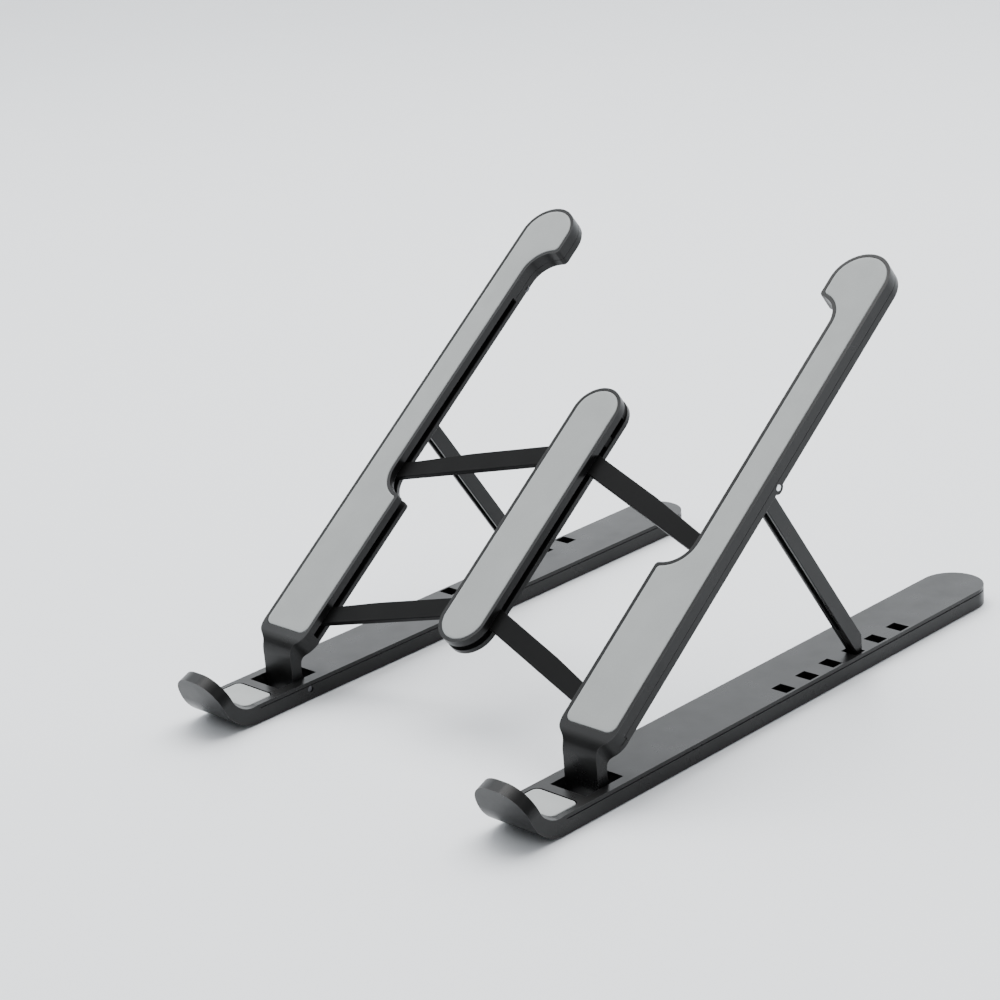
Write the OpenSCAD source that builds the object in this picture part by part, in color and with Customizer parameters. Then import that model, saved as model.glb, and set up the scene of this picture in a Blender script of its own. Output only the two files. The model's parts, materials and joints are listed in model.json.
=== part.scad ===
// Folding laptop stand: two rails with hooked fronts, two padded arms, two struts,
// and a padded centre block carried by four flat links.
// X is across the stand, Y runs from the hooks to the back, Z is up. Floor at Z = 0.

/* [Stand] */
// Length of a rail, from the tip of its hook to its round back end
base_l = 246; // [240:1:252]
// Distance from the middle of the stand to the middle of each rail
side_x = 71.5; // [70.5:0.5:72]
// Width of a rail and of an arm
side_w = 23; // [23:0.2:24]
// Height of a rail without its rubber feet
base_h = 6.6; // [6.4:0.1:6.8]
// Height of the rubber feet below the rail
feet_h = 0.4; // [0.3:0.1:0.8]
// Angle of the arms above the floor
arm_tilt = 36.8; // [36:0.1:37.4]

/* [Rail] */
// Height of the hook above the underside of the rail
hook_h = 20.6; // [19:0.1:22]
// Distance from the hook tip to the first strut slot
slot_first = 128.9; // [124:0.1:132]
// Distance between strut slots
slot_pitch = 12.6; // [12.2:0.1:12.8]
// Number of strut slots in a rail
slot_count = 6; // [5:1:6]
// Size of a slot across the rail
slot_w = 6.5; // [6:0.1:7]
// Size of a slot along the rail
slot_l = 5; // [4.6:0.1:5.4]
// Distance of the slots outward from the middle of the rail
slot_x = 7.4; // [7:0.1:7.6]

/* [Arm] */
// Length of an arm beyond the lower edge of its pad
arm_l = 191; // [188:0.5:194]
// Thickness of an arm and of the centre block
arm_t = 7; // [6.9:0.1:7.2]
// Width of the rim around a pad
rim_w = 1.2; // [0.8:0.1:1.5]
// Thickness of the soft pads
pad_t = 1.1; // [0.9:0.1:1.3]

/* [Centre block] */
// Length of the centre block
block_l = 106.6; // [104:0.2:107]
// Width of the centre block
block_w = 19.6; // [19:0.1:19.8]

/* [Links] */
// Distance between the two pivots of a link
link_l = 72.2; // [72:0.1:72.4]
// Thickness of a link
link_t = 2; // [1.8:0.1:2.1]

/* [Hidden] */
$fn = 96;

dark = [0.22, 0.22, 0.23];
darker = [0.14, 0.14, 0.15];
grey = [0.70, 0.71, 0.71];
steel = [0.85, 0.86, 0.88];
rubber = [0.10, 0.10, 0.10];

gap = 0.05;             // running clearance of a pin in its bore
fit = 0.02;             // clearance of a fixed pin or screw
pad_gap = 0.1;          // clearance around a pad in its seat
eps = 0.01;             // overlap that joins the solids of one piece
half_w = side_w / 2;

// Rail
wall = 1.6;             // side wall of the rail
hollow_wall = 2.2;      // wall left around the hollows
slot_bay_w = 12;        // hollow beside the slots
slot_margin = 8;        // solid length kept around the slots
slots_y0 = slot_first - slot_margin;
slots_y1 = slot_first + (slot_count - 1) * slot_pitch + slot_margin;
roof = 1.8;             // top wall of the rail
sole_t = 1.2;
hook_r = 15.15;         // the front of the rail turns up on this radius
hook_a = 67.2;          // by this much
hook_t = 4.4;           // thickness at the end
hook_end_r = 9.8;       // corner radius of the end, in its own plane
hook_n = 16;
hook_dir = [-cos(hook_a), sin(hook_a)];
hook_lip = (hook_h - hook_r * (1 - cos(hook_a)) - hook_t * cos(hook_a)) / sin(hook_a);
hook_y = hook_r * sin(hook_a) + hook_lip * cos(hook_a);
window_y = 31.3;        // opening that the foot of the arm stands in
window_l = 17.4;
window_w = 15.1;
window_x = 0.4;         // opening is this far outward of the middle of the rail
sole_y0 = window_y + window_l + wall;
hollow_y0 = window_y + window_l + 2;
front_pad_y = 14.5;
front_pad_l = 12.6;
front_pad_w = 18;
front_pad_seat = 0.8;
pad_groove = 0.5;       // gap around the front pad
front_pad_t = 0.9;
foot_l = 10;
foot_w = 14;
foot_inset = [19, 16];  // from each end of the rail to the feet
groove_y0 = 19;         // where the line along the side starts
groove_z = 4.9;         // line along the side of the rail
groove_h = 0.45;
groove_d = 0.35;

// Hinge of the arm in the rail
hinge_y = 42;
hinge_z = 3.7;
hinge_s = -12.4;        // hinge measured along the arm, from the lower edge of the pad
hinge_d = 15.6;         // hinge measured below the face of the arm
hinge_r = 1.2;
pin_inset = 0.5;        // the pin goes in from the inner side
pin_end = 2;            // and stops this far inside the outer side
leg_w = 14.3;
flare_s = -6.5;         // the foot is down to its leg's width here
foot_reach = 22;        // the foot ends short of this, down and along

// Arm layers, measured down from its face
shell_t = 2.8;
cover_t = 1.8;
seam_d = 4;             // parting line between shell and cover
seam = 0.1;
arm_pad_recess = 1;
wall_x = 7.2;           // inner face of the outer wall
head_s = 151;           // above this the arm is solid
foot_s = 2;             // below this the arm is solid
recess_s0 = 61;         // recess that the centre block folds into
recess_s1 = 171.5;
recess_r = 10.1;
recess_top_r = 1.8;     // rounded corners where the recess meets the inner edge
recess_bottom_r = 1.4;
mate = 0.25;            // half of the gap between the folded arms
mid_z = -(shell_t + arm_t - cover_t) / 2;
link_pin_l = arm_t - shell_t + 0.9;

// Screws of the cover: places across and along the arm, and sizes
screw_places = [[9.2, 22], [9.2, 135], [0, 158], [0, 182]];
screw_r = 1.1;
screw_l = 4.2;
screw_sink = 0.3;
screw_head_r = 2;
screw_head_h = 1.1;

// Link pivots
arm_pivot_x = 2;
arm_pivot_s = [6.2, 70.7];
block_pivot_x = 4.8;
link_span = side_x + arm_pivot_x - block_pivot_x;
link_rise = sqrt(link_l * link_l - link_span * link_span);
link_a = asin(link_rise / link_l);
folded_span = half_w + mate + arm_pivot_x - block_pivot_x;
block_s = (recess_s0 + recess_s1) / 2 - sqrt(link_l * link_l - folded_span * folded_span) + link_rise;
pivot_r = 1.5;
link_block_r = 4.1;
link_arm_r = 3.6;
link_kink = 38.4;       // where the rear edge of a link starts to taper

// Strut, measured from its pin
strut_s = 100.1;
strut_d = 6;
strut_a = 93;           // angle between the arm and the strut
strut_w = 4.6;
strut_back = 1.6;
strut_front = 7.2;
strut_wall = 1.2;
strut_pin_r = 1.1;
strut_knuckle_r = 2.3;
lug_r = 2.4;
pocket_x0 = 4.8;
pocket_x1 = 10.05;
lug_x0 = 3.3;
lug_l = 8;
pocket_front = 8;       // the pocket starts this far in front of the strut pin
pocket_l = 11.5;
channel_u0 = 8;         // channel along the front edge of the strut
channel_l = 60;
channel_d = 3.6;

// Spacer inside the centre block, from the middle of the block
stop_y0 = 33;
stop_l = 30;
notch = [4, 37];
notch_size = [10, 8];
rib_y0 = -44;
rib_l = 78;
rib_w = 0.7;

// Points of a curve from a to b that leaves and arrives towards c
function bend(a, c, b, n = 10) = [for (i = [0:n])
    let (t = i / n) a * (1 - t) * (1 - t) + c * 2 * t * (1 - t) + b * t * t];

// Points of an arc
function arc(c, r, a0, a1, n = 12) = [for (i = [0:n])
    let (a = a0 + (a1 - a0) * i / n) c + r * [cos(a), sin(a)]];

// ---- frames -------------------------------------------------------------

// Measured from the hook tip and the underside of the right rail
module rail_frame() {
    translate([side_x, -base_l / 2, feet_h])
        children();
}

// Measured from the lower edge of the pad on the face of an arm at distance x
module slope_frame(x) {
    translate([x, hinge_y - base_l / 2, hinge_z + feet_h])
        rotate([arm_tilt, 0, 0])
            translate([0, -hinge_s, hinge_d])
                children();
}

module left() {
    mirror([1, 0, 0])
        children();
}

// ---- outlines -----------------------------------------------------------

// Square corner of size r with a round bite, to round an outside corner
module corner(r) {
    difference() {
        translate([-eps, -eps])
            square(r + eps);
        translate([r, r])
            circle(r);
    }
}

// Outside corner where the end of an arm's recess meets the inner edge of an outline
// drawn in by e, rounded by r so that it runs smoothly into both
module recess_corner(e, r) {
    reach = recess_r + e;
    edge_x = mate + e;
    middle = [edge_x + r, sqrt(pow(reach + r, 2) - pow(edge_x + r, 2))];
    inside = middle * (reach - eps) / (reach + r);
    difference() {
        polygon([[edge_x - eps, middle[1]], middle, inside, [edge_x - eps, inside[1]]]);
        translate(middle)
            circle(r);
    }
}

module rounded_rect(w, l, r) {
    for (x = [-w / 2 + r, w / 2 - r], y = [r, l - r])
        translate([x, y])
            circle(r);
    translate([-w / 2, r])
        square([w, l - 2 * r]);
    translate([-w / 2 + r, 0])
        square([w - 2 * r, l]);
}

module stadium(w, l) {
    translate([-w / 2, -(l - w) / 2])
        square([w, l - w]);
    for (s = [-1, 1])
        translate([0, s * (l - w) / 2])
            circle(d = w);
}

// Rail seen from above, drawn in by e
module rail_plan(e = 0) {
    translate([-half_w + e, 0])
        square([side_w - 2 * e, base_l - half_w]);
    translate([0, base_l - half_w])
        circle(half_w - e);
}

// Underside and upper side of the hook where it has turned up by a
function hook_below(a) = [hook_y - hook_r * sin(a), hook_r * (1 - cos(a))];
function hook_above(a) = hook_below(a)
    + (base_h + (hook_t - base_h) * a / hook_a) * [sin(a), cos(a)];

// Rail seen from its side, Y along the rail
module rail_side() {
    below = [for (i = [0:hook_n]) hook_below(hook_a * i / hook_n)];
    above = [for (i = [hook_n:-1:0]) hook_above(hook_a * i / hook_n)];
    polygon(concat(
        [[base_l, 0]],
        below,
        [below[hook_n] + hook_lip * hook_dir, above[0] + hook_lip * hook_dir],
        above,
        [[base_l, base_h]]
    ));
}

// Arm seen square to its face: lower edge at s0 with corner radius r0, drawn in by e
module arm_outline(e, s0, r0) {
    hw = half_w - e;
    difference() {
        union() {
            for (x = [-hw + r0, hw - r0])
                translate([x, s0 + r0])
                    circle(r0);
            translate([-hw + r0, s0])
                square([2 * hw - 2 * r0, r0 + 1]);
            translate([-hw, s0 + r0])
                square([2 * hw, arm_l - half_w - s0 - r0]);
            translate([0, arm_l - half_w])
                circle(hw);
        }
        translate([-half_w - mate, (recess_s0 + recess_s1) / 2])
            stadium(2 * (recess_r + e), recess_s1 - recess_s0 + 2 * e);
        translate([-half_w - mate, recess_s1 - recess_r])
            recess_corner(e, recess_top_r);
        translate([-half_w - mate, recess_s0 + recess_r])
            mirror([0, 1])
                recess_corner(e, recess_bottom_r);
    }
}

// Part of the arm outline that is on the outer side or beyond the reach of the links
module arm_solid_zone() {
    intersection() {
        arm_outline(0, 0, 3);
        union() {
            translate([wall_x, foot_s])
                square([half_w, arm_l]);
            translate([-half_w, head_s])
                square([side_w, half_w + arm_l - head_s]);
        }
    }
}

// Foot of the arm seen from the side: along the arm and up from its face
module foot_side() {
    a = 90 - arm_tilt;
    h = [hinge_s, -hinge_d];
    polygon(concat(
        [[foot_s, -arm_t], [foot_s, 0]],
        bend([-2.2, 0], [-6.6, -0.3], [-9.6, -5.2]),
        bend([-14.6, -11.8], [-17.6, -16], [-16.2, -17.6], 6),
        arc(h, 2.5, 236, 330, 8),
        bend([-9.4, -12.4], [-6.2, -7.2], [-2, -arm_t])
    ));
}

// Foot of the arm seen square to its face: as wide as the arm, then narrow
module foot_face() {
    mid = [(half_w + leg_w / 2) / 2, flare_s / 2 - 0.4];
    edge = concat(
        bend([half_w, foot_s], [half_w, mid[1] + 1.6], mid, 5),
        bend(mid, [leg_w / 2, mid[1] - 1.6], [leg_w / 2, flare_s], 5)
    );
    polygon(concat(
        edge,
        [[leg_w / 2, -foot_reach], [-leg_w / 2, -foot_reach]],
        [for (i = [len(edge) - 1:-1:0]) [-edge[i][0], edge[i][1]]]
    ));
}

// Link seen square to its face: block pivot at 0, arm pivot at link_l, rear edge at +Y
module link_outline() {
    circle(link_block_r);
    translate([link_l, 0])
        circle(link_arm_r);
    polygon([
        [0, -3.4],
        [link_l, -3.2],
        [link_l, 3.1],
        [link_l - 9, 3.1],
        [link_kink, link_block_r],
        [0, link_block_r]
    ]);
}

// Strut seen from the side: its pin at 0, Y along the strut, back edge uppermost
module strut_side() {
    circle(strut_knuckle_r);
    polygon([
        [-1.2, -1.9],
        [0.2, -strut_front],
        [75.3, -strut_front],
        [80.5, -4.8],
        [77.9, -strut_back],
        [3.2, -strut_back],
        [1.6, 1.5]
    ]);
}

// ---- base ---------------------------------------------------------------

module slots() {
    for (i = [0:slot_count - 1])
        translate([slot_x, slot_first + i * slot_pitch])
            square([slot_w, slot_l], center = true);
}

// Whole rail, before its slotted strip is set apart
module rail_body() {
    difference() {
        intersection() {
            linear_extrude(hook_h + 5)
                rail_plan();
            translate([-half_w, 0, 0])
                rotate([90, 0, 90])
                    linear_extrude(side_w)
                        rail_side();
        }
        // round end of the hook
        translate([0, 0, hook_h - hook_t * cos(hook_a)])
            rotate([-hook_a, 0, 0])
                translate([0, 0, -1])
                    linear_extrude(hook_t + 2)
                        for (m = [0, 1])
                            mirror([m, 0])
                                translate([-half_w, 0])
                                    corner(hook_end_r);
        // line along both sides
        translate([0, 0, groove_z])
            linear_extrude(groove_h)
                difference() {
                    translate([-half_w - 1, groove_y0])
                        square([side_w + 2, base_l]);
                    rail_plan(groove_d);
                }
        // seat of the front pad
        translate([0, front_pad_y, base_h - front_pad_seat])
            linear_extrude(2)
                rounded_rect(front_pad_w + 2 * pad_groove, front_pad_l + pad_groove, 2.8);
        // opening for the foot of the arm
        translate([window_x - window_w / 2, window_y, -1])
            cube([window_w, window_l, base_h + 2]);
        // strut slots
        translate([0, 0, -1])
            linear_extrude(base_h + 2)
                slots();
        // hollows below the roof
        translate([-half_w + hollow_wall, hollow_y0, -1])
            cube([side_w - 2 * hollow_wall, slots_y0 - hollow_y0, base_h - roof + 1]);
        translate([-half_w + hollow_wall, slots_y0, -1])
            cube([slot_bay_w, slots_y1 - slots_y0, base_h - roof + 1]);
        translate([-half_w + hollow_wall, slots_y1, -1])
            cube([side_w - 2 * hollow_wall, base_l - half_w - slots_y1, base_h - roof + 1]);
        // seat of the sole
        translate([0, 0, -1])
            linear_extrude(sole_t + 1)
                sole_plan(wall);
        // bore of the hinge pin
        translate([-half_w - 1, hinge_y, hinge_z])
            rotate([0, 90, 0])
                cylinder(r = hinge_r + fit, h = side_w - pin_end + 1);
    }
}

module rack_zone() {
    translate([slot_bay_w - half_w + hollow_wall, slots_y0, -1])
        cube([half_w, slots_y1 - slots_y0, base_h + 2]);
}

module base() {
    color(dark)
    rail_frame()
    difference() {
        rail_body();
        rack_zone();
    }
}

// Strip of the rail that holds the strut slots
module base_rack() {
    color(dark)
    rail_frame()
    intersection() {
        rail_body();
        rack_zone();
    }
}

module sole_plan(e) {
    intersection() {
        rail_plan(e);
        translate([-half_w, sole_y0 + e - wall])
            square([side_w, base_l]);
    }
}

module base_sole() {
    color(darker)
    rail_frame()
    linear_extrude(sole_t)
        sole_plan(wall + 0.1);
}

module base_pad() {
    color(grey)
    rail_frame()
    translate([0, front_pad_y + pad_gap, base_h - front_pad_seat])
        linear_extrude(front_pad_t)
            rounded_rect(front_pad_w, front_pad_l - 2 * pad_gap, 2.3);
}

module base_feet() {
    color(rubber)
    rail_frame()
    for (y = [foot_inset[0], base_l - foot_inset[1] - foot_l])
        translate([0, y, -feet_h])
            linear_extrude(feet_h)
                rounded_rect(foot_w, foot_l, 3);
}

module hinge_pin() {
    color(steel)
    rail_frame()
    translate([-half_w + pin_inset, hinge_y, hinge_z])
        rotate([0, 90, 0])
            cylinder(r = hinge_r, h = side_w - pin_end - pin_inset - 0.1);
}

// ---- arm ----------------------------------------------------------------

module arm_shell() {
    color(dark)
    slope_frame(side_x)
    difference() {
        union() {
            translate([0, 0, -shell_t])
                linear_extrude(shell_t)
                    arm_outline(0, -1.6, 3);
            translate([0, 0, -seam_d])
                linear_extrude(seam_d)
                    arm_solid_zone();
            intersection() {
                translate([-half_w, 0, 0])
                    rotate([90, 0, 90])
                        linear_extrude(side_w)
                            foot_side();
                translate([0, 0, -foot_reach])
                    linear_extrude(foot_reach + 1)
                        foot_face();
            }
        }
        // seat of the pad
        translate([0, 0, -arm_pad_recess])
            linear_extrude(arm_pad_recess + 1)
                arm_outline(rim_w, 0, 3);
        // blind bores of the link pins
        for (s = arm_pivot_s)
            translate([arm_pivot_x, s, -shell_t - 1])
                cylinder(r = pivot_r + fit, h = 2);
        // pocket of the strut
        translate([pocket_x0, strut_s - pocket_front, -arm_t - 1])
            cube([pocket_x1 - pocket_x0, pocket_l, arm_t + 1 - shell_t]);
        // running bore on the hinge pin
        translate([-leg_w / 2 - 1, hinge_s, -hinge_d])
            rotate([0, 90, 0])
                cylinder(r = hinge_r + gap, h = leg_w + 2);
        cover_screw_shape(fit);
    }
}

module arm_cover() {
    color(dark)
    slope_frame(side_x)
    difference() {
        union() {
            translate([0, 0, -arm_t])
                linear_extrude(cover_t)
                    intersection() {
                        arm_outline(0, -1.6, 3);
                        translate([-half_w, foot_s + seam])
                            square([side_w, arm_l + half_w]);
                    }
            translate([0, 0, -arm_t])
                linear_extrude(arm_t - seam_d - seam)
                    intersection() {
                        arm_solid_zone();
                        translate([-half_w, foot_s + seam])
                            square([side_w, arm_l + half_w]);
                    }
            // lugs of the strut pin
            for (x = [[lug_x0, pocket_x0 - lug_x0], [pocket_x1, half_w - pocket_x1]])
                translate([x[0], strut_s, -strut_d])
                    rotate([0, 90, 0])
                        cylinder(r = lug_r, h = x[1]);
        }
        // keep the lugs below the parting line
        translate([lug_x0 - 1, strut_s - lug_l / 2, -seam_d - seam])
            cube([half_w, lug_l, 2]);
        translate([pocket_x0, strut_s - pocket_front, -arm_t - 3])
            cube([pocket_x1 - pocket_x0, pocket_l, arm_t + 3]);
        translate([lug_x0 - 1, strut_s, -strut_d])
            rotate([0, 90, 0])
                cylinder(r = strut_pin_r + fit, h = 20);
        for (s = arm_pivot_s)
            translate([arm_pivot_x, s, -arm_t - 1])
                cylinder(r = pivot_r + fit, h = cover_t + 2);
        cover_screw_shape(fit);
    }
}

module arm_pad() {
    color(grey)
    slope_frame(side_x)
    translate([0, 0, -arm_pad_recess])
        linear_extrude(pad_t)
            arm_outline(rim_w + pad_gap, pad_gap, 3);
}

// Screws that hold the cover to the shell, from below
module cover_screw_shape(grow) {
    below = grow > 0 ? 1 : 0;
    for (p = screw_places)
        translate([p[0], p[1], -arm_t]) {
            translate([0, 0, screw_sink])
                cylinder(r = screw_r + grow, h = screw_l);
            translate([0, 0, -below])
                cylinder(r = screw_head_r + grow, h = screw_head_h + below);
        }
}

module cover_screws() {
    color(steel)
    slope_frame(side_x)
    cover_screw_shape(0);
}

module link_pins() {
    color(steel)
    slope_frame(side_x)
    for (s = arm_pivot_s)
        translate([arm_pivot_x, s, -arm_t])
            cylinder(r = pivot_r, h = link_pin_l);
}

// ---- strut --------------------------------------------------------------

module strut_frame() {
    slope_frame(side_x)
        translate([0, strut_s, -strut_d])
            rotate([-strut_a, 0, 0])
                children();
}

module strut() {
    mid = (pocket_x0 + pocket_x1) / 2;
    color(dark)
    strut_frame()
    difference() {
        translate([mid - strut_w / 2, 0, 0])
            rotate([90, 0, 90])
                linear_extrude(strut_w)
                    strut_side();
        // channel along the front edge
        translate([mid - strut_w / 2 + strut_wall, channel_u0, -strut_front - 1])
            cube([strut_w - 2 * strut_wall, channel_l, channel_d + 1]);
        rotate([0, 90, 0])
            cylinder(r = strut_pin_r + gap, h = 20);
    }
}

module strut_pin() {
    color(steel)
    slope_frame(side_x)
    translate([lug_x0, strut_s, -strut_d])
        rotate([0, 90, 0])
            cylinder(r = strut_pin_r, h = half_w - lug_x0 + 0.1);
}

// ---- links --------------------------------------------------------------

module link(s) {
    color(darker)
    slope_frame(0)
    translate([block_pivot_x, s + link_rise, mid_z - link_t / 2])
        rotate([0, 0, -link_a])
            linear_extrude(link_t)
                difference() {
                    link_outline();
                    for (x = [0, link_l])
                        translate([x, 0])
                            circle(pivot_r + gap);
                }
}

// ---- centre block -------------------------------------------------------

module block_bores() {
    for (x = [-block_pivot_x, block_pivot_x], s = arm_pivot_s)
        translate([x, s + link_rise - block_s])
            circle(pivot_r + fit);
}

module centre_top() {
    color(dark)
    slope_frame(0)
    translate([0, block_s, -shell_t])
        difference() {
            linear_extrude(shell_t)
                stadium(block_w, block_l);
            translate([0, 0, shell_t - arm_pad_recess])
                linear_extrude(arm_pad_recess + 1)
                    stadium(block_w - 2 * rim_w, block_l - 2 * rim_w);
            translate([0, 0, -1])
                linear_extrude(2)
                    block_bores();
        }
}

module centre_bottom() {
    color(dark)
    slope_frame(0)
    translate([0, block_s, -arm_t])
        linear_extrude(cover_t)
            difference() {
                stadium(block_w, block_l);
                block_bores();
            }
}

module centre_spacer() {
    color(darker)
    slope_frame(0)
    translate([0, block_s, -arm_t + cover_t])
        linear_extrude(arm_t - cover_t - shell_t) {
            intersection() {
                stadium(block_w - 1, block_l - 1);
                difference() {
                    translate([-block_w / 2, stop_y0])
                        square([block_w, stop_l]);
                    translate(notch)
                        square(notch_size);
                }
            }
            translate([-rib_w / 2, rib_y0])
                square([rib_w, rib_l]);
        }
}

module centre_pad() {
    color(grey)
    slope_frame(0)
    translate([0, block_s, -arm_pad_recess])
        linear_extrude(pad_t)
            stadium(block_w - 2 * (rim_w + pad_gap), block_l - 2 * (rim_w + pad_gap));
}

module centre_pins() {
    color(steel)
    slope_frame(0)
    for (x = [-block_pivot_x, block_pivot_x], s = arm_pivot_s)
        translate([x, s + link_rise, -arm_t])
            cylinder(r = pivot_r, h = link_pin_l);
}

// ---- nodes --------------------------------------------------------------

left() base();  // left_base
left() base_rack();  // left_base_rack
left() base_sole();  // left_base_sole
left() base_pad();  // left_base_pad
left() base_feet();  // left_base_feet
left() hinge_pin();  // left_hinge_pin
left() arm_shell();  // left_arm_shell
left() arm_cover();  // left_arm_cover
left() arm_pad();  // left_arm_pad
left() cover_screws();  // left_cover_screws
left() strut();  // left_strut
left() strut_pin();  // left_strut_pin
left() link_pins();  // left_link_pins
left() link(arm_pivot_s[1]);  // left_link_upper
left() link(arm_pivot_s[0]);  // left_link_lower
base();  // right_base
base_rack();  // right_base_rack
base_sole();  // right_base_sole
base_pad();  // right_base_pad
base_feet();  // right_base_feet
hinge_pin();  // right_hinge_pin
arm_shell();  // right_arm_shell
arm_cover();  // right_arm_cover
arm_pad();  // right_arm_pad
cover_screws();  // right_cover_screws
strut();  // right_strut
strut_pin();  // right_strut_pin
link_pins();  // right_link_pins
link(arm_pivot_s[1]);  // right_link_upper
link(arm_pivot_s[0]);  // right_link_lower
centre_top();
centre_bottom();
centre_spacer();
centre_pad();
centre_pins();
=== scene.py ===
"""Folding laptop stand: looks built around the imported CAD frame. Metres, Z up."""

import json
import math

import bmesh
import bpy
from mathutils import Matrix, Vector


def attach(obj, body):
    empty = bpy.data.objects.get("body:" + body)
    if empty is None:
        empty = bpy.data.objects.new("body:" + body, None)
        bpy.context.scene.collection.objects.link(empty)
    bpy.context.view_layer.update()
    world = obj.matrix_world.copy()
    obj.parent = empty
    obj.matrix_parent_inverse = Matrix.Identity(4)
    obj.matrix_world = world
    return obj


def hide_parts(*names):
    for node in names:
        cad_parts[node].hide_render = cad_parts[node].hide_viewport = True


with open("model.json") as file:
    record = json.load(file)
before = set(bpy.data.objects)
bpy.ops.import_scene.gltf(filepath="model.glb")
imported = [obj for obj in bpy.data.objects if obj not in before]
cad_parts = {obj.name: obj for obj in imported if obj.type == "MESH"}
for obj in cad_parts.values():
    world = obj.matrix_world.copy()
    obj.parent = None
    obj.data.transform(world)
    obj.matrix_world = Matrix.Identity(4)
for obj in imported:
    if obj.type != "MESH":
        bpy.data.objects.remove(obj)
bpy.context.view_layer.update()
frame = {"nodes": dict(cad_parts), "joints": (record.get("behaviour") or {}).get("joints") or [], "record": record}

MM = 0.001
TILT = math.radians(36.8)
SLOPE_UP = Vector((0, -math.sin(TILT), math.cos(TILT)))
SIDES = (("left", -1), ("right", 1))
FLAT_ANGLE = math.radians(0.6)
WELD_DISTANCE = 0.004 * MM

joint_place = {j["name"]: [v / MM for v in j["pos_m"]] for j in frame["joints"]}
opening = {o["name"]: o["box_m"] for o in frame["record"]["physics"]["openings"]}
SLOT_X, SLOT_4_Y = (sum(corner[i] for corner in opening["right_slot_4"]) / 2 / MM for i in (0, 1))


# ---- helpers ------------------------------------------------------------


def link_object(name, bm):
    mesh = bpy.data.meshes.new(name)
    bmesh.ops.recalc_face_normals(bm, faces=bm.faces)
    bm.to_mesh(mesh)
    bm.free()
    obj = bpy.data.objects.new(name, mesh)
    bpy.context.scene.collection.objects.link(obj)
    return obj


def prism(bm, outline, place, x0, x1):
    """Adds the solid that outline, a list of (a, b), sweeps from x0 to x1."""
    near = [bm.verts.new(place(x0, a, b)) for a, b in outline]
    far = [bm.verts.new(place(x1, a, b)) for a, b in outline]
    bm.faces.new(near)
    bm.faces.new(far[::-1])
    for i in range(len(near)):
        j = (i + 1) % len(near)
        bm.faces.new((near[i], far[i], far[j], near[j]))


def join_flats(bm):
    """Welds a mesh and joins its coplanar faces into single ones."""
    bmesh.ops.remove_doubles(bm, verts=bm.verts, dist=WELD_DISTANCE)
    bmesh.ops.dissolve_limit(bm, angle_limit=FLAT_ANGLE, verts=bm.verts, edges=bm.edges)


def shade_smooth(obj):
    for face in obj.data.polygons:
        face.use_smooth = True
    normals = obj.modifiers.new("normals", "WEIGHTED_NORMAL")
    normals.keep_sharp = True


def soften(obj, width, clamp=True):
    """Rounds an object's sharp edges with modifiers, so its own mesh keeps its shape."""
    weld = obj.modifiers.new("weld", "WELD")
    weld.merge_threshold = WELD_DISTANCE
    flat = obj.modifiers.new("flat", "DECIMATE")
    flat.decimate_type = "DISSOLVE"
    flat.angle_limit = FLAT_ANGLE
    bevel = obj.modifiers.new("edge", "BEVEL")
    bevel.width = width * MM
    bevel.segments = 3
    bevel.limit_method = "ANGLE"
    bevel.angle_limit = math.radians(34)
    bevel.use_clamp_overlap = clamp
    bevel.harden_normals = True
    shade_smooth(obj)


# ---- materials ----------------------------------------------------------


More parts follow.
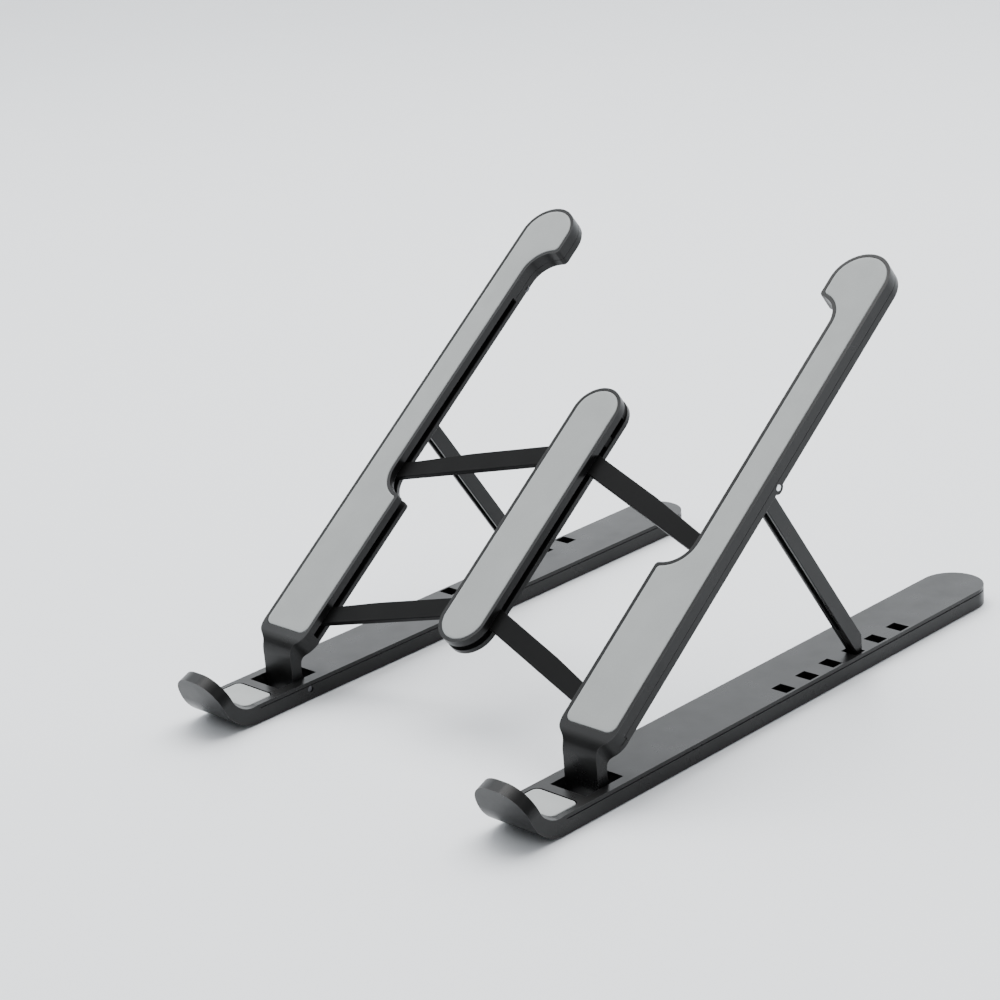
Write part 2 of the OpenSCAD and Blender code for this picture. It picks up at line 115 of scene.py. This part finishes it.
class Surface:
    """Small builder for a node material."""

    def __init__(self, name):
        self.material = bpy.data.materials.new(name)
        self.material.use_nodes = True
        self.nodes = self.material.node_tree.nodes
        self.links = self.material.node_tree.links
        self.shader = self.nodes["Principled BSDF"]
        self.coords = self.nodes.new("ShaderNodeTexCoord").outputs["Object"]

    def noise(self, scale, detail=4.0, stretch=(1, 1, 1)):
        mapping = self.nodes.new("ShaderNodeMapping")
        mapping.inputs["Scale"].default_value = stretch
        self.links.new(self.coords, mapping.inputs["Vector"])
        node = self.nodes.new("ShaderNodeTexNoise")
        node.inputs["Scale"].default_value = scale
        node.inputs["Detail"].default_value = detail
        self.links.new(mapping.outputs["Vector"], node.inputs["Vector"])
        return node.outputs["Fac"]

    def spread(self, value, low, high, start=0.3, end=0.7):
        node = self.nodes.new("ShaderNodeMapRange")
        node.inputs["From Min"].default_value = start
        node.inputs["From Max"].default_value = end
        node.inputs["To Min"].default_value = low
        node.inputs["To Max"].default_value = high
        self.links.new(value, node.inputs["Value"])
        return node.outputs["Result"]

    def mix(self, factor, first, second):
        node = self.nodes.new("ShaderNodeMix")
        node.data_type = "RGBA"
        self.links.new(factor, node.inputs[0])
        for socket, value in ((node.inputs[6], first), (node.inputs[7], second)):
            if isinstance(value, tuple):
                socket.default_value = (*value, 1)
            else:
                self.links.new(value, socket)
        return node.outputs[2]

    def edges(self, radius):
        """Mask for a painted edge highlight: 1 on the object's outside edges, 0 on its flats."""
        bevel = self.nodes.new("ShaderNodeBevel")
        bevel.samples = 6
        bevel.inputs["Radius"].default_value = radius * MM
        geometry = self.nodes.new("ShaderNodeNewGeometry")
        dot = self.nodes.new("ShaderNodeVectorMath")
        dot.operation = "DOT_PRODUCT"
        self.links.new(bevel.outputs["Normal"], dot.inputs[0])
        self.links.new(geometry.outputs["Normal"], dot.inputs[1])
        return self.spread(dot.outputs["Value"], 1.0, 0.0, 0.86, 0.995)

    def bump(self, layers):
        previous = None
        for height, strength, distance in layers:
            node = self.nodes.new("ShaderNodeBump")
            node.inputs["Strength"].default_value = strength
            node.inputs["Distance"].default_value = distance * MM
            self.links.new(height, node.inputs["Height"])
            if previous is not None:
                self.links.new(previous, node.inputs["Normal"])
            previous = node.outputs["Normal"]
        self.links.new(previous, self.shader.inputs["Normal"])

    def set(self, **values):
        for name, value in values.items():
            socket = self.shader.inputs[name.replace("_", " ")]
            if isinstance(value, bpy.types.NodeSocket):
                self.links.new(value, socket)
            elif isinstance(value, tuple):
                socket.default_value = (*value, 1)
            else:
                socket.default_value = value


def moulded(name, low, high, edge, rough, grain=0.12, gloss=0.22):
    """Satin moulded plastic: fine spark-eroded grain, uneven sheen, and a painted highlight along its edges."""
    m = Surface(name)
    cloud = m.noise(38, 5)
    # The edge colour mixed in over the edges mask is a painted highlight along the edges.
    m.set(Base_Color=m.mix(m.edges(0.45), m.mix(m.spread(cloud, 0, 1), low, high), edge))
    m.set(Roughness=m.spread(m.noise(90, 6), rough - 0.05, rough + 0.07))
    m.set(IOR=1.5, Specular_IOR_Level=gloss)
    m.bump([(m.noise(2600, 3), grain, 0.05), (m.noise(260, 2), 0.05, 0.08)])
    return m.material


def silicone(name, low, high, edge):
    """Soft matte pad: faint mottling, dust in the grain, and a painted highlight on its rolled edge."""
    m = Surface(name)
    speck = m.spread(m.noise(1900, 4), 0, 1, 0.55, 0.8)
    body = m.mix(m.spread(m.noise(55, 5), 0, 1), low, high)
    body = m.mix(speck, body, tuple(min(1.0, v * 1.05) for v in high))
    # The paler edge colour over the edges mask is a painted highlight on the rolled edge.
    m.set(Base_Color=m.mix(m.edges(0.5), body, edge))
    m.set(Roughness=m.spread(m.noise(140, 4), 0.62, 0.76))
    m.set(Sheen_Weight=0.12, Sheen_Roughness=0.5)
    m.bump([(m.noise(3200, 3), 0.16, 0.04), (m.noise(120, 2), 0.05, 0.1)])
    return m.material


def metal(name, low, high, rough, stretch):
    """Turned steel: streaks along stretch, with a little tarnish."""
    m = Surface(name)
    streak = m.noise(900, 4, stretch)
    m.set(Base_Color=m.mix(m.spread(m.noise(300, 4), 0, 1), low, high))
    m.set(Metallic=1.0, Roughness=m.spread(streak, rough - 0.07, rough + 0.1))
    m.bump([(streak, 0.1, 0.02)])
    return m.material


def grey(value):
    return (value, value, value)


# The last colour of each moulded and silicone material is a painted highlight along its edges.
MATERIALS = {
    "abs_dark": moulded("satin_abs", grey(0.006), grey(0.009), grey(0.026), 0.3),
    "link_black": moulded("link_plastic", grey(0.004), grey(0.006), grey(0.012), 0.42, gloss=0.06),
    "pad_grey": silicone("pad_silicone", (0.31, 0.323, 0.319), (0.342, 0.355, 0.351), (0.5, 0.513, 0.51)),
    "foot_rubber": moulded("foot_rubber", grey(0.012), grey(0.02), grey(0.03), 0.7, 0.3),
    "pin_steel": metal("pin_steel", (0.62, 0.63, 0.65), (0.8, 0.81, 0.83), 0.26, (1, 8, 8)),
    "screw_steel": metal("screw_zinc", (0.42, 0.42, 0.44), (0.56, 0.56, 0.57), 0.34, (1, 1, 6)),
}
# Darkened steel is painted shade: it stands in for the shade in the hinge pin's recess, and the cover screws get
# it too.
PAINTED_SHADE_STEEL = metal("painted_shade_steel", (0.07, 0.07, 0.075), (0.14, 0.14, 0.15), 0.3, (1, 8, 8))
PAINTED_SHADE_PARTS = ("hinge_pin", "cover_screws")

# Bevel widths in millimetres. Parts that are rebuilt further down have none.
EDGE_WIDTH = {
    "base_sole": 0.2, "base_feet": 0.15, "hinge_pin": 0.15,
    "arm_shell": 0.22, "arm_cover": 0.18, "cover_screws": 0.1,
    "strut_pin": 0.15, "link_pins": 0.15, "link_upper": 0.25, "link_lower": 0.25,
    "top": 0.3, "bottom": 0.35, "spacer": 0.15, "pins": 0.15,
}
# The cover has edges too short for a clamped bevel, which they would shrink to nothing.
UNCLAMPED = ("arm_cover",)
RAIL_EDGE = 0.5
STRUT_EDGE = 0.22

slots = {entry["node"]: entry["material_slot"] for entry in frame["record"]["subparts"]}
for node, obj in frame["nodes"].items():
    part = node.split("_", 1)[1]
    obj.data.materials.clear()
    obj.data.materials.append(PAINTED_SHADE_STEEL if part in PAINTED_SHADE_PARTS else MATERIALS[slots[node]])
    if part in EDGE_WIDTH:
        soften(obj, EDGE_WIDTH[part], clamp=part not in UNCLAMPED)


# ---- rails --------------------------------------------------------------


def planar_copy(node, name):
    """Copy of a CAD node with its flat faces joined into single faces."""
    bm = bmesh.new()
    bm.from_mesh(frame["nodes"][node].data)
    join_flats(bm)
    return link_object(name, bm)


def make_rail(side):
    """Rail and its slotted strip as the one moulding they are."""
    rail = planar_copy(side + "_base", side + "_rail")
    strip = planar_copy(side + "_base_rack", side + "_strip")
    union = rail.modifiers.new("join", "BOOLEAN")
    union.operation = "UNION"
    union.solver = "EXACT"
    union.object = strip
    bpy.context.view_layer.update()
    evaluated = rail.evaluated_get(bpy.context.evaluated_depsgraph_get())
    joined = bpy.data.meshes.new_from_object(evaluated)
    rail.modifiers.clear()
    rail.data = joined
    bpy.data.objects.remove(strip)
    bm = bmesh.new()
    bm.from_mesh(joined)
    join_flats(bm)
    bm.to_mesh(joined)
    bm.free()
    rail.data.materials.clear()
    rail.data.materials.append(MATERIALS["abs_dark"])
    soften(rail, RAIL_EDGE)
    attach(rail, side + "_base")
    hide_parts(side + "_base", side + "_base_rack")


for side_name, _ in SIDES:
    make_rail(side_name)


# ---- pads ---------------------------------------------------------------

# In millimetres, apart from the steps and the mitre limit.
PAD_ROLL = 0.38
PAD_CROWN = 0.06
CROWN_WIDTH = 0.8
ROLL_STEPS = 5
SHORTEST_EDGE = 0.15
MITRE_LIMIT = 0.6


def open_outline(face):
    """Corners of a face in order, without the ones that all but touch."""
    points = []
    for loop in face.loops:
        if not points or (loop.vert.co - points[-1]).length > SHORTEST_EDGE * MM:
            points.append(loop.vert.co.copy())
    return points


def drawn_in(points, up, width, height):
    """Outline moved inward by width and up by height, with its sharp corners kept from spiking."""
    moved = []
    for i, point in enumerate(points):
        before = up.cross(point - points[i - 1]).normalized()
        after = up.cross(points[(i + 1) % len(points)] - point).normalized()
        middle = (before + after).normalized()
        reach = width / max(MITRE_LIMIT, middle.dot(after))
        moved.append(point + (middle * reach + up * height) * MM)
    return moved


def make_pad(node, name, body, up):
    """Silicone pad with a rolled edge and a slight crown, in the seat its CAD solid holds."""
    flat = planar_copy(node, name + "_flat")
    source = bmesh.new()
    source.from_mesh(flat.data)
    source.normal_update()
    face = max((f for f in source.faces if f.normal.dot(up) > 0.99), key=lambda f: f.calc_area())
    outline = open_outline(face)
    thickness = (outline[0].dot(up) - min(v.co.dot(up) for v in source.verts)) / MM
    source.free()
    bpy.data.objects.remove(flat)

    rings = [drawn_in(outline, up, 0, -thickness)]
    for step in range(ROLL_STEPS + 1):
        turn = math.radians(90 * step / ROLL_STEPS)
        inward, height = PAD_ROLL * (1 - math.cos(turn)), PAD_ROLL * (math.sin(turn) - 1)
        rings.append(drawn_in(outline, up, inward, height))
    rings.append(drawn_in(outline, up, PAD_ROLL + CROWN_WIDTH, PAD_CROWN))

    bm = bmesh.new()
    rows = [[bm.verts.new(point) for point in ring] for ring in rings]
    for low, high in zip(rows, rows[1:]):
        for i in range(len(low)):
            j = (i + 1) % len(low)
            bm.faces.new((low[i], low[j], high[j], high[i]))
    bm.faces.new(rows[-1])
    bm.faces.new(rows[0][::-1])
    pad = link_object(name, bm)
    pad.data.materials.append(MATERIALS["pad_grey"])
    shade_smooth(pad)
    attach(pad, body)
    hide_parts(node)


for side_name, _ in SIDES:
    make_pad(side_name + "_arm_pad", side_name + "_arm_grip", side_name + "_arm", SLOPE_UP)
    make_pad(side_name + "_base_pad", side_name + "_front_grip", side_name + "_base", Vector((0, 0, 1)))
make_pad("centre_pad", "centre_grip", "centre", SLOPE_UP)


# ---- struts -------------------------------------------------------------

# Depths are in front of the strut's pin axis, lengths run along the strut from it, in millimetres.
STRUT_PIN = joint_place["right_strut_swing"][1:]
STRUT_ANGLE = TILT - math.radians(93)
STRUT_BACK = 1.6
STRUT_FRONT = 7.2
WEB_START = 3.4
WEB_FRONT = 3.4
SOLID_START = 70
SOLID_FRONT = STRUT_FRONT - 0.3
KNUCKLE_RADIUS = 2.3
CHEEK_OUTSIDE = 2.3
CHEEK_INSIDE = 1.1
WEB_HALF = 1.12
FOOT_BACK_Y = SLOT_4_Y + 2.1
TOE = 0.5


def strut_line(u, depth):
    """World (y, z) of a point u along the strut and depth in front of its pin axis."""
    y = STRUT_PIN[0] + u * math.cos(STRUT_ANGLE) + depth * math.sin(STRUT_ANGLE)
    z = STRUT_PIN[1] + u * math.sin(STRUT_ANGLE) - depth * math.cos(STRUT_ANGLE)
    return y, z


def edge_at_y(y, depth):
    """World (y, z) of the point at y on the strut's edge of that depth."""
    u = (y - STRUT_PIN[0] - depth * math.sin(STRUT_ANGLE)) / math.cos(STRUT_ANGLE)
    return strut_line(u, depth)


def knuckle():
    """Rounded head of a strut around its pin, from its front edge to its back."""
    turns = [math.radians(t) for t in range(20, 171, 15)]
    return [strut_line(-KNUCKLE_RADIUS * math.sin(t), KNUCKLE_RADIUS * math.cos(t)) for t in turns]


def foot(front):
    """Foot of a strut, from its back edge to its toe in the slot.

    The front edge runs straight on, so that the strut is clear of the rail when folded flat.
    It still crosses the rail's top on the way there.
    """
    toe_y, toe_z = edge_at_y(FOOT_BACK_Y, front)
    heel = edge_at_y(FOOT_BACK_Y, STRUT_BACK)
    return [heel, (toe_y, toe_z + TOE), edge_at_y(FOOT_BACK_Y - TOE, front)]


def make_strut(side, sign):
    """Channel bar: two cheeks and a web, with its foot seated in the fourth slot."""
    bm = bmesh.new()

    def place(x, y, z):
        return Vector((sign * x, y, z)) * MM

    cheek = [strut_line(0.2, STRUT_FRONT), *knuckle(), strut_line(3.2, STRUT_BACK), *foot(STRUT_FRONT)]
    for x0, x1 in ((-CHEEK_OUTSIDE, -CHEEK_INSIDE), (CHEEK_INSIDE, CHEEK_OUTSIDE)):
        prism(bm, cheek, place, SLOT_X + x0, SLOT_X + x1)
    for start, front in ((WEB_START, WEB_FRONT), (SOLID_START, SOLID_FRONT)):
        web = [strut_line(start, front), strut_line(start, STRUT_BACK), *foot(front)]
        prism(bm, web, place, SLOT_X - WEB_HALF, SLOT_X + WEB_HALF)
    obj = link_object(side + "_strut_bar", bm)
    obj.data.materials.append(MATERIALS["abs_dark"])
    soften(obj, STRUT_EDGE)
    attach(obj, side + "_strut")
    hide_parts(side + "_strut")


for side_name, side_sign in SIDES:
    make_strut(side_name, side_sign)


# ---- camera, floor and light --------------------------------------------

# Solved from the photo. The place is in metres, the turns are yaw, pitch and roll in degrees.
CAMERA_PLACE = (0.59176, -0.61235, 0.36443)
CAMERA_TURNS = (45.99, 19.52, -4.84)
CAMERA_LENS = 94.737


def add_camera():
    yaw, pitch, roll = (math.radians(v) for v in CAMERA_TURNS)
    back = Vector((math.sin(yaw) * math.cos(pitch), -math.cos(yaw) * math.cos(pitch), math.sin(pitch)))
    level = Vector((math.cos(yaw), math.sin(yaw), 0))
    rise = back.cross(level)
    right = level * math.cos(roll) + rise * math.sin(roll)
    up = rise * math.cos(roll) - level * math.sin(roll)
    data = bpy.data.cameras.new("camera")
    data.lens = CAMERA_LENS
    data.sensor_width = 36
    data.clip_start = 0.01
    camera = bpy.data.objects.new("camera", data)
    bpy.context.scene.collection.objects.link(camera)
    turn = Matrix((right, up, back)).transposed().to_4x4()
    camera.matrix_world = Matrix.Translation(CAMERA_PLACE) @ turn
    bpy.context.scene.camera = camera


def add_floor():
    bm = bmesh.new()
    bmesh.ops.create_grid(bm, x_segments=2, y_segments=2, size=6)
    obj = link_object("floor", bm)
    m = Surface("pale_floor")
    m.set(Base_Color=m.mix(m.noise(6, 3), (0.86, 0.88, 0.905), (0.89, 0.905, 0.925)))
    m.set(Roughness=m.spread(m.noise(30, 3), 0.5, 0.62))
    obj.data.materials.append(m.material)


def add_light(name, place, target, size, power, colour=(1, 1, 1)):
    data = bpy.data.lights.new(name, "AREA")
    data.shape = "RECTANGLE"
    data.size, data.size_y = size
    data.energy = power
    data.color = colour
    light = bpy.data.objects.new(name, data)
    bpy.context.scene.collection.objects.link(light)
    light.location = place
    aim = Vector(target) - Vector(place)
    light.rotation_euler = aim.to_track_quat("-Z", "Y").to_euler()


def add_world():
    """Bright wall behind the stand, dimmer room in front of it."""
    world = bpy.data.worlds.new("studio")
    world.use_nodes = True
    nodes, links = world.node_tree.nodes, world.node_tree.links
    ground = nodes["Background"]
    coords = nodes.new("ShaderNodeTexCoord")
    toward_wall = nodes.new("ShaderNodeVectorMath")
    toward_wall.operation = "DOT_PRODUCT"
    toward_wall.inputs[1].default_value = (-0.62, 0.68, 0.39)
    fade = nodes.new("ShaderNodeMapRange")
    fade.interpolation_type = "SMOOTHSTEP"
    ranges = {"From Min": -0.15, "From Max": 0.85, "To Min": 0.12, "To Max": 2.5}
    for name, value in ranges.items():
        fade.inputs[name].default_value = value
    links.new(coords.outputs["Generated"], toward_wall.inputs[0])
    links.new(toward_wall.outputs["Value"], fade.inputs["Value"])
    links.new(fade.outputs["Result"], ground.inputs["Strength"])
    ground.inputs["Color"].default_value = (0.93, 0.965, 1.0, 1)
    bpy.context.scene.world = world


add_camera()
add_floor()
add_world()
add_light("top", (-0.25, 0.45, 1.5), (0, 0, 0.03), (1.6, 1.4), 36, (1, 0.99, 0.975))
add_light("left", (-1.3, -0.6, 0.9), (0, 0, 0.05), (0.9, 0.9), 3.5, (0.95, 0.98, 1))
add_light("right", (1.2, -0.3, 0.8), (0, 0, 0.05), (0.7, 0.7), 2.5)
